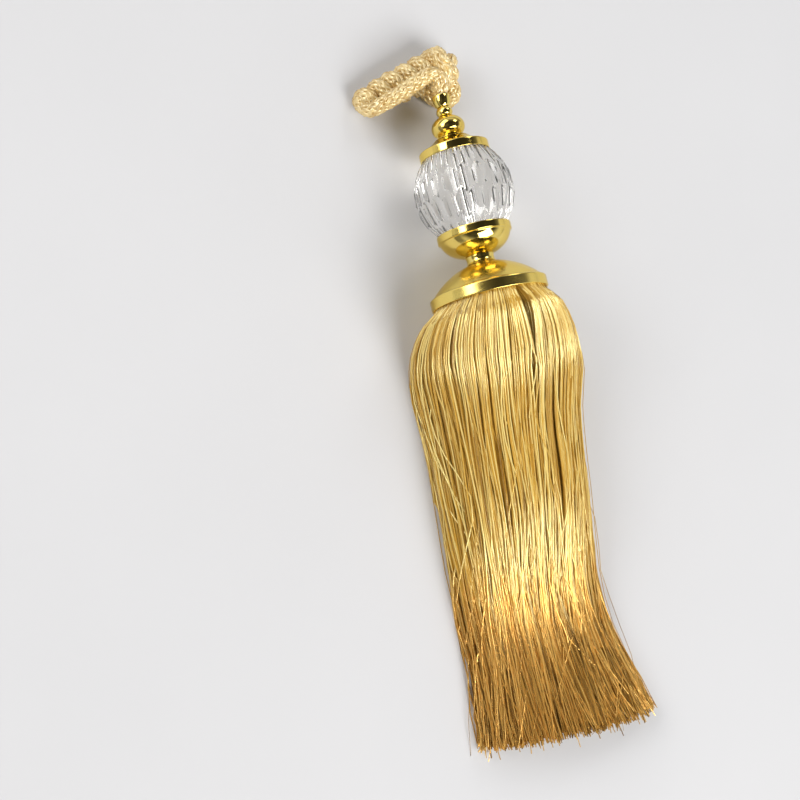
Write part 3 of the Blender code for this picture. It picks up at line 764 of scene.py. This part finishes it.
class TASSEL_OT_crystal(bpy.types.Operator):
    """Cut the fluted crystal ball"""

    bl_idname = "tassel.crystal"
    bl_label = "Crystal"

    def execute(self, context):
        top = asin(CRYSTAL_HALF / CRYSTAL_RADIUS)
        angles = [top * (1 - 2 * i / CRYSTAL_ROWS) for i in range(CRYSTAL_ROWS + 1)]
        profile = [(CRYSTAL_RADIUS * cos(a), CRYSTAL_RADIUS * sin(a)) for a in angles]
        profile += [(CRYSTAL_BORE, -CRYSTAL_HALF), (CRYSTAL_BORE, CRYSTAL_HALF)]
        bm = bmesh.new()
        verts = [bm.verts.new((0, radius, height)) for radius, height in profile]
        edges = [bm.edges.new(pair) for pair in zip(verts, verts[1:] + verts[:1])]
        bmesh.ops.spin(
            bm,
            geom=verts + edges,
            axis=(0, 0, 1),
            cent=(0, 0, 0),
            angle=tau,
            steps=FLUTES * FLUTE_COLUMNS,
            use_merge=True,
        )
        for vert in bm.verts:
            radius = hypot(vert.co.x, vert.co.y)
            if radius > CRYSTAL_BORE + MERGE:
                cut = crystal_radius(atan2(vert.co.x, vert.co.y), vert.co.z, radius) / radius
                vert.co.x *= cut
                vert.co.y *= cut
        bmesh.ops.remove_doubles(bm, verts=bm.verts, dist=MERGE)
        bmesh.ops.recalc_face_normals(bm, faces=bm.faces)
        bm.transform(HEAD @ Matrix.Translation((0, 0, CRYSTAL_CENTRE)))
        mesh = bpy.data.meshes.new("cut_crystal")
        bm.to_mesh(mesh)
        bm.free()
        mesh.shade_smooth()
        mesh.set_sharp_from_angle(angle=CRISP)
        add_piece("crystal_ball", mesh, crystal_material(), ["crystal"])
        return {"FINISHED"}


# ---- fringe


# Shells are pairs of count and share, width is of the strand radius, and drift and lift are of the bundle's
Layer = namedtuple("Layer", "name shells points wisps width drift lift ragged tone roundness")


def section_at(run):
    """The fringe's section at runs: middle, half width, low, high and settled, smooth between the rows."""
    runs = FRINGE_ROWS[:, 0]
    index = np.clip(np.searchsorted(runs, run) - 1, 0, len(runs) - 2)
    width = runs[index + 1] - runs[index]
    t = np.clip((run - runs[index]) / width, 0, 1)
    found = []
    for column in FRINGE_ROWS.T[1:]:
        slope = np.gradient(column, runs)
        slope[0] = 0 if abs(column[1] - column[0]) < MERGE else slope[0]
        found.append(
            (2 * t**3 - 3 * t**2 + 1) * column[index]
            + (t**3 - 2 * t**2 + t) * width * slope[index]
            + (3 * t**2 - 2 * t**3) * column[index + 1]
            + (t**3 - t**2) * width * slope[index + 1]
        )
    return found


def lie(share, angle, run):
    """Where points of the yarn's round bundle come to lie, given by their share of its radius and angle."""
    middle, half_width, low, high, settled = section_at(run)
    low, settled = np.maximum(low, 0), np.clip(settled, 0, 1)
    middle_height = (low + high) / 2
    half_height = (high - low) / 2
    bundled_x = half_width * share * np.cos(angle)
    bundled_z = middle_height + half_height * share * np.sin(angle)
    half_turns = np.mod(angle, tau) / pi
    flatness = np.maximum(0, 1 - high / half_width)
    across = (1 - 2 * half_turns) * flatness + np.cos(angle) * (1 - flatness)
    over = half_turns <= 1
    edge_x = np.where(over, half_width * across, half_width * (2 * half_turns - 3))
    edge_z = np.where(over, high * np.sqrt(np.maximum(0, 1 - across**2)), 0)
    pile_x = share * edge_x
    pile_z = CROWN_SHARE * high * (1 - share) + share * edge_z
    x = bundled_x + (pile_x - bundled_x) * settled
    z = bundled_z + (pile_z - bundled_z) * settled
    lean = tan(TILT) * (bundled_z - middle_height) * (1 - settled)
    return np.stack((ROD_X + middle + x, RIM_Y + lean - run, z), axis=-1)


def wander(draw, count, along, waves, size):
    """Smooth random sideways drift of each strand, growing along it: (count, points, 2)."""
    made = np.zeros((count, len(along), 2))
    for wave in waves:
        phase = draw.uniform(0, tau, (count, 1, 2))
        strength = draw.normal(0, 1, (count, 1, 2)) / wave**0.5
        made += strength * np.sin(tau * wave * along[None, :, None] + phase)
    return made * size * along[None, :, None] ** 1.2


def gathered(place, centres):
    """For each place in the bundle, the nearest centre's index."""
    apart = ((place[:, None, :] - centres[None, :, :]) ** 2).sum(axis=2)
    return apart.argmin(axis=1)


def shell_points(draw, count, share):
    """Places round one shell of the bundle, evenly spaced but for a jitter."""
    angle = tau * (np.arange(count) + PLACE_JITTER * draw.uniform(-1, 1, count) + draw.uniform()) / count
    share = share + SHARE_JITTER * draw.uniform(-1, 1, count)
    return np.stack((share * np.cos(angle), share * np.sin(angle)), axis=1)


def scattered(draw, count):
    """Centres that strands are drawn together at, most of them near the outside of the bundle."""
    share, angle = draw.uniform(0.3, 1, count) ** 0.4, draw.uniform(0, tau, count)
    return np.stack((share * np.cos(angle), share * np.sin(angle)), axis=1)


def strand_paths(draw, places, points, wisps, drift, lift, cut):
    """Paths of strands from their places in the bundle, drawn together into one wisp and then another."""
    count = len(places)
    along = np.linspace(0, 1, points) ** ROOT_CROWDING
    end = CUT_RUN + cut - UNDER_SHORTER * np.maximum(0, -places[:, 1]) + CUT_SLANT * places[:, 0]
    run = ROOT_RUN + (end[:, None] - ROOT_RUN) * along[None, :]
    path = np.repeat(places[:, None, :], points, axis=1)
    for centres, reach in wisps:
        near = gathered(places, centres)
        pull = np.interp(along, *reach)[None, :, None]
        path += (centres[near] - places)[:, None, :] * pull
        own_draw = np.random.default_rng(len(centres))
        path += wander(own_draw, len(centres), along, WISP_WAVES, WISP_DRIFT)[near] * (pull > 0)
    path += wander(draw, count, along, STRAND_WAVES, drift) * draw.exponential(1.0, (count, 1, 1))
    splaying = np.clip((along - SPLAY_START) / (1 - SPLAY_START), 0, 1) ** 1.5
    splay = draw.normal(0, TIP_SPLAY, (count, 1)) * splaying
    path += splay[..., None] * np.stack((-places[:, 1], places[:, 0]), axis=1)[:, None, :]
    curling = np.clip((along - CURL_START) / (1 - CURL_START), 0, 1) ** 2
    path += draw.normal(0, TIP_CURL, (count, 1, 2)) * curling[None, :, None]
    raised = lift * draw.uniform(0, 1, (count, 1)) * np.minimum(1, 5 * along)
    share = np.minimum(np.hypot(path[..., 0], path[..., 1]), 1.0) + raised
    angle = np.mod(np.arctan2(path[..., 1], path[..., 0]), tau)
    for parting, first, last, half in PARTINGS:
        reach = np.clip((run - first) / PARTING_OPENS, 0, 1) * np.clip((last - run) / PARTING_CLOSES, 0, 1)
        off = np.mod(angle - parting + pi, tau) - pi
        side = np.sign(off[:, :1])
        own = np.maximum(0, off * side)
        moved = side * (own + half * np.clip(1 - own / (4 * half), 0, 1)) - off
        depth = np.clip((share - PARTING_FLOOR) / PARTING_BLEND, 0, 1)
        angle = angle + np.where(np.abs(off) < PARTING_REACH, moved, 0) * reach * depth
    return lie(share, angle, run)


def fringe_piece(draw, layer, material):
    """One mesh of strands in several shells of the bundle."""
    places = np.concatenate([shell_points(draw, count, share) for count, share in layer.shells])
    count = len(places)
    cut = draw.normal(0, layer.ragged, count)
    cut = cut * np.where(draw.uniform(0, 1, count) < ODD_CUT_CHANCE, ODD_CUT, 1)
    paths = strand_paths(draw, places, layer.points, layer.wisps, layer.drift, layer.lift, cut)
    slim = np.interp(np.linspace(0, 1, layer.points), STRAND_SHARES, STRAND_WIDTHS)
    radius = sizes().strand_radius * layer.width
    radii = radius * draw.uniform(0.8, 1.2, (count, 1)) * slim
    paths[..., 2] = np.maximum(paths[..., 2], radii * RESTING)
    tones = np.clip(draw.normal(layer.tone, TONE_SPREAD, count), 0, 1.2)
    mesh = strand_mesh(layer.name, paths, radii, tones, layer.roundness)
    add_piece(layer.name, mesh, material, ["fringe"])


class TASSEL_OT_fringe(bpy.types.Operator):
    """Lay the yarn fringe, strand by strand, from its backing in the bell"""

    bl_idname = "tassel.fringe"
    bl_label = "Fringe"

    def execute(self, context):
        draw = np.random.default_rng(11)
        tones = colours()
        gloss = 3.0, (1.0, 0.97, 0.54), 0.24
        # Painted shade toward the strands' tips: where it starts, where it is full, and how metallic the
        # sheen turns
        tip_shade = 0.830, 0.890, 0.62
        shades = (0.1, tones.yarn_dark), (0.75, tones.yarn_light), (1.0, tones.yarn_pale)
        yarn = strand_material("satin_yarn", shades, gloss, 5.0, 60.0, 18.0, tip_shade=tip_shade)
        upper = scattered(draw, UPPER_WISPS), UPPER_PULL
        lower = scattered(draw, LOWER_WISPS), LOWER_PULL
        wisps, deep = (upper, lower), (lower,)
        strands = sizes().strands
        outer = [(strands, OUTER_SHELL - SHELL_SPACING * k) for k in range(3)]
        inner = [(strands, INNER_SHELL - SHELL_SPACING * k) for k in range(3)]
        heart = [(round(strands * HEART_FILL * share), share) for share in HEART_SHARES]
        stray = [(strands, 1.0)]
        loose = [(FLYAWAYS, 1.0)]
        layers = (
            Layer("fringe_face", outer, 20, wisps, 1.0, 0.026, 0.0, 0.0014, 0.5, 1),
            Layer("fringe_body", inner, 20, deep, 1.1, 0.022, 0.0, 0.0016, 0.5, 0),
            # The heart's lower tone is painted shade: strands deep in the bundle, seen through gaps, are
            # darker
            Layer("fringe_heart", heart, 14, deep, 1.7, 0.012, 0.0, 0.0020, 0.4, 0),
            # The loose strands get a high tone, a painted highlight that makes them paler as if they catch
            # the light
            Layer("fringe_strays", stray, 24, wisps, 0.80, 0.165, 0.040, 0.0024, 1.0, 1),
            Layer("fringe_flyaways", loose, 24, (), 0.4, 0.10, 0.16, 0.0030, 0.6, 0),
        )
        for layer in layers:
            fringe_piece(draw, layer, yarn)
        ceiling = BELL_TOP - BELL_CROWN - GAP
        crown = (BELL_NECK - 0.0004, ceiling - 0.0004)
        shoulder = (BACKING_EDGE, BELL_BAND - BACKING_SHOULDER)
        backing = [
            (0, ceiling - 0.0002),
            *arc(crown, shoulder, BACKING_BULGE, HOLLOW_STEPS),
            (BACKING_RADIUS, BACKING_RIM),
            (BACKING_FACE, BACKING_FACE_HEIGHT),
            (0, BACKING_FACE_HEIGHT),
        ]
        turned("fringe_backing", backing, yarn, ["fringe"], closed=False)
        return {"FINISHED"}


# ---- rope


def smooth_route(points, step):
    """A smooth line through points, resampled at an even step."""
    points = np.asarray(points, float)
    ends = np.vstack((2 * points[0] - points[1], points, 2 * points[-1] - points[-2]))
    fine = []
    for i in range(len(points) - 1):
        p, q, r, s = ends[i : i + 4]
        t = np.linspace(0, 1, ROUTE_STEPS, endpoint=False)[:, None]
        square, cube = 2 * p - 5 * q + 4 * r - s, 3 * (q - r) + s - p
        fine.append(0.5 * (2 * q + (r - p) * t + square * t**2 + cube * t**3))
    fine = np.vstack(fine + [points[-1:]])
    length = np.concatenate(([0], np.cumsum(np.linalg.norm(np.diff(fine, axis=0), axis=1))))
    even = np.linspace(0, length[-1], round(length[-1] / step) + 1)
    return np.stack([np.interp(even, length, fine[:, axis]) for axis in range(3)], axis=1)


def winding_route():
    """Points on the rope's helix round the hank, from its slim end to its full end."""
    points = []
    turn = WIND_FIRST_TURN
    while turn * WIND_PITCH < WIND_END:
        along = turn * WIND_PITCH
        grown = min(1, max(0, (along - WIND_START) / (WIND_END - WIND_START)))
        radius = WIND_SLIM + (WIND_FULL - WIND_SLIM) * grown**WIND_GROWTH
        height = radius * WIND_SQUASH + ROPE_RADIUS - PRESSED
        angle = tau * turn
        points.append((along, radius * cos(angle), height + radius * WIND_SQUASH * sin(angle)))
        turn += 1 / TURN_STEPS
    return points


def loop_route(centre, radius, swing, lean, start, turns):
    """Points round an end loop from a start angle in degrees."""
    turned_by = Matrix.Rotation(radians(swing), 4, "Z") @ Matrix.Rotation(pi / 2 + radians(lean), 4, "Y")
    points = []
    for step in range(round(TURN_STEPS * turns) + 1):
        angle = radians(start) + tau * step / TURN_STEPS
        out = turned_by @ Vector((radius * cos(angle), radius * sin(angle), 0))
        points.append(tuple(Vector(centre) + out))
    return points


def rope_route():
    """The rope's whole way: socket, hank's front, winding, end loops and bight."""
    into_hank = HANK.inverted()
    heights = (SOCKET_FLOOR + ROPE_MOUTH, SOCKET_TOP + ROPE_MOUTH)
    mouth = [tuple(into_hank @ (HEAD @ Vector((0, 0, height)))) for height in heights]
    loops = []
    for loop in HANK_LOOPS:
        loops += loop_route(*loop)
    local = [*mouth, *FRONT_ROUTE, *winding_route(), *loops, *BIGHT_ROUTE]
    return [tuple(HANK @ Vector(point)) for point in local]


def carried_frames(route):
    """A side and an up direction at each point of the route, which turn as little as they can."""
    ahead = np.gradient(route, axis=0)
    ahead /= np.linalg.norm(ahead, axis=1)[:, None]
    side = np.cross(ahead[0], (0, 0, 1.0))
    side /= np.linalg.norm(side)
    sides = []
    for direction in ahead:
        side = side - direction * side.dot(direction)
        side /= np.linalg.norm(side)
        sides.append(side)
    sides = np.array(sides)
    return sides, np.cross(ahead, sides)


class TASSEL_OT_rope(bpy.types.Operator):
    """Braid the rope and wind it into its hank"""

    bl_idname = "tassel.rope"
    bl_label = "Braided Rope"

    def execute(self, context):
        draw = np.random.default_rng(5)
        tones = colours()
        radius = sizes().rope_radius
        route = smooth_route(rope_route(), ROPE_STEP)
        side, up = carried_frames(route)
        travelled = np.arange(len(route)) * ROPE_STEP
        strand = STRAND_SHARE * radius
        swell = SWELL_SHARE * radius
        middle = radius - strand - swell
        lay = tau * middle / tan(LAY_ANGLE)
        swing = tau * travelled / lay
        slim = np.interp(travelled, *ROPE_ENTRY)
        paths, shades = [], []
        for way in (1, -1):
            for carrier in range(CARRIERS):
                angle = way * swing + tau * carrier / CARRIERS
                out = (middle + way * swell * np.cos(CARRIERS * swing)) * slim
                path = route + (side * np.cos(angle)[:, None] + up * np.sin(angle)[:, None]) * out[:, None]
                paths.append(path)
                shades.append(draw.uniform(0.05, 0.95))
        paths = np.array(paths)
        paths[..., 2] = np.maximum(paths[..., 2], strand)
        radii = np.ones(paths.shape[:2]) * strand * slim[None, :]
        gloss = 2.9, (1.0, 0.95, 0.68), 0.25
        woven = (0.1, tones.rope_dark), (0.9, tones.rope_light)
        rope = strand_material("braided_rope", woven, gloss, 5.0, 60.0, 26.0, threads=0.35)
        mesh = strand_mesh("rope_braid", paths, radii, np.array(shades))
        add_piece("rope_braid", mesh, rope, ["hank"])
        core_radii = np.full((1, len(route)), middle * CORE_SHARE)
        core = strand_mesh("rope_core", route[None], core_radii, np.array([CORE_TONE]))
        core.vertices.foreach_get("co", flat := np.zeros(len(core.vertices) * 3))
        flat[2::3] = np.maximum(flat[2::3], 0)
        core.vertices.foreach_set("co", flat)
        add_piece("rope_core", core, rope, ["hank"])
        return {"FINISHED"}


# ---- stage


def softbox(name, direction, distance, size, power, shade):
    """An area light that looks at the middle of the tassel from a direction."""
    light = bpy.data.lights.new(name, "AREA")
    light.shape = "RECTANGLE"
    light.size, light.size_y = size
    light.energy = power
    light.color = shade
    holder = bpy.data.objects.new(name, light)
    bpy.context.scene.collection.objects.link(holder)
    holder.location = Vector(direction).normalized() * distance
    holder.rotation_euler = Vector(direction).to_track_quat("Z", "Y").to_euler()


def studio_world():
    """A room with bright walls low down and a dim ceiling."""
    world = bpy.data.worlds.new("studio")
    world.use_nodes = True
    tree = world.node_tree
    direction = add_node(tree, "ShaderNodeTexCoord").outputs["Generated"]
    split = add_node(tree, "ShaderNodeSeparateXYZ", {"Vector": direction})
    room = ramp(tree, split.outputs["Z"], ROOM)
    patches = add_node(tree, "ShaderNodeTexNoise", {"Vector": direction, "Scale": 1.7, "Detail": 1})
    depth = ramp(tree, patches.outputs["Fac"], ((0.40, 0.30), (0.60, 1.0)))
    low = mix(tree, 1.0, room, depth, "MULTIPLY")
    background = tree.nodes["Background"]
    tree.links.new(low, background.inputs["Color"])
    background.inputs["Strength"].default_value = ROOM_STRENGTH
    bpy.context.scene.world = world


class TASSEL_OT_stage(bpy.types.Operator):
    """Set the floor, the studio light and the camera"""

    bl_idname = "tassel.stage"
    bl_label = "Stage"

    def execute(self, context):
        scene = context.scene
        camera = bpy.data.cameras.new("photo_camera")
        camera.lens = CAMERA_LENS
        camera.sensor_width = CAMERA_SENSOR
        camera.clip_start = CAMERA_NEAR
        holder = bpy.data.objects.new("photo_camera", camera)
        scene.collection.objects.link(holder)
        axes = (CAMERA_RIGHT, -CAMERA_DOWN, -CAMERA_AIM)
        turn = Matrix([[axis[row] for axis in axes] for row in range(3)]).to_4x4()
        holder.matrix_world = Matrix.Translation(CAMERA_PLACE) @ turn
        scene.camera = holder
        bm = bmesh.new()
        bmesh.ops.create_grid(bm, x_segments=4, y_segments=4, size=FLOOR_HALF)
        mesh = bpy.data.meshes.new("floor")
        bm.to_mesh(mesh)
        bm.free()
        mesh.materials.append(floor_material())
        floor = bpy.data.objects.new("floor", mesh)
        scene.collection.objects.link(floor)
        for light in SOFTBOXES:
            softbox(*light)
        studio_world()
        scene.view_settings.view_transform = "Standard"
        return {"FINISHED"}


# ---- add-on


OPERATORS = (TASSEL_OT_stage, TASSEL_OT_metal, TASSEL_OT_crystal, TASSEL_OT_rope, TASSEL_OT_fringe)


class TASSEL_PT_sidebar(bpy.types.Panel):
    bl_idname = "TASSEL_PT_sidebar"
    bl_label = "Tieback Tassel"
    bl_space_type = "VIEW_3D"
    bl_region_type = "UI"
    bl_category = "Tassel"

    def draw(self, context):
        layout = self.layout
        for settings in (context.scene.tassel_sizes, context.scene.tassel_colours):
            for name in settings.__annotations__:
                layout.prop(settings, name)
        for operator in OPERATORS:
            layout.operator(operator.bl_idname)


CLASSES = (TasselSizes, TasselColours, *OPERATORS, TASSEL_PT_sidebar)


def register():
    for cls in CLASSES:
        bpy.utils.register_class(cls)
    bpy.types.Scene.tassel_sizes = PointerProperty(type=TasselSizes)
    bpy.types.Scene.tassel_colours = PointerProperty(type=TasselColours)


def unregister():
    del bpy.types.Scene.tassel_sizes
    del bpy.types.Scene.tassel_colours
    for cls in reversed(CLASSES):
        bpy.utils.unregister_class(cls)


def main():
    register()
    handling_group()
    fibre_group()
    bpy.ops.tassel.stage()
    bpy.ops.tassel.metal()
    bpy.ops.tassel.crystal()
    bpy.ops.tassel.rope()
    bpy.ops.tassel.fringe()


if __name__ == "__main__":
    main()
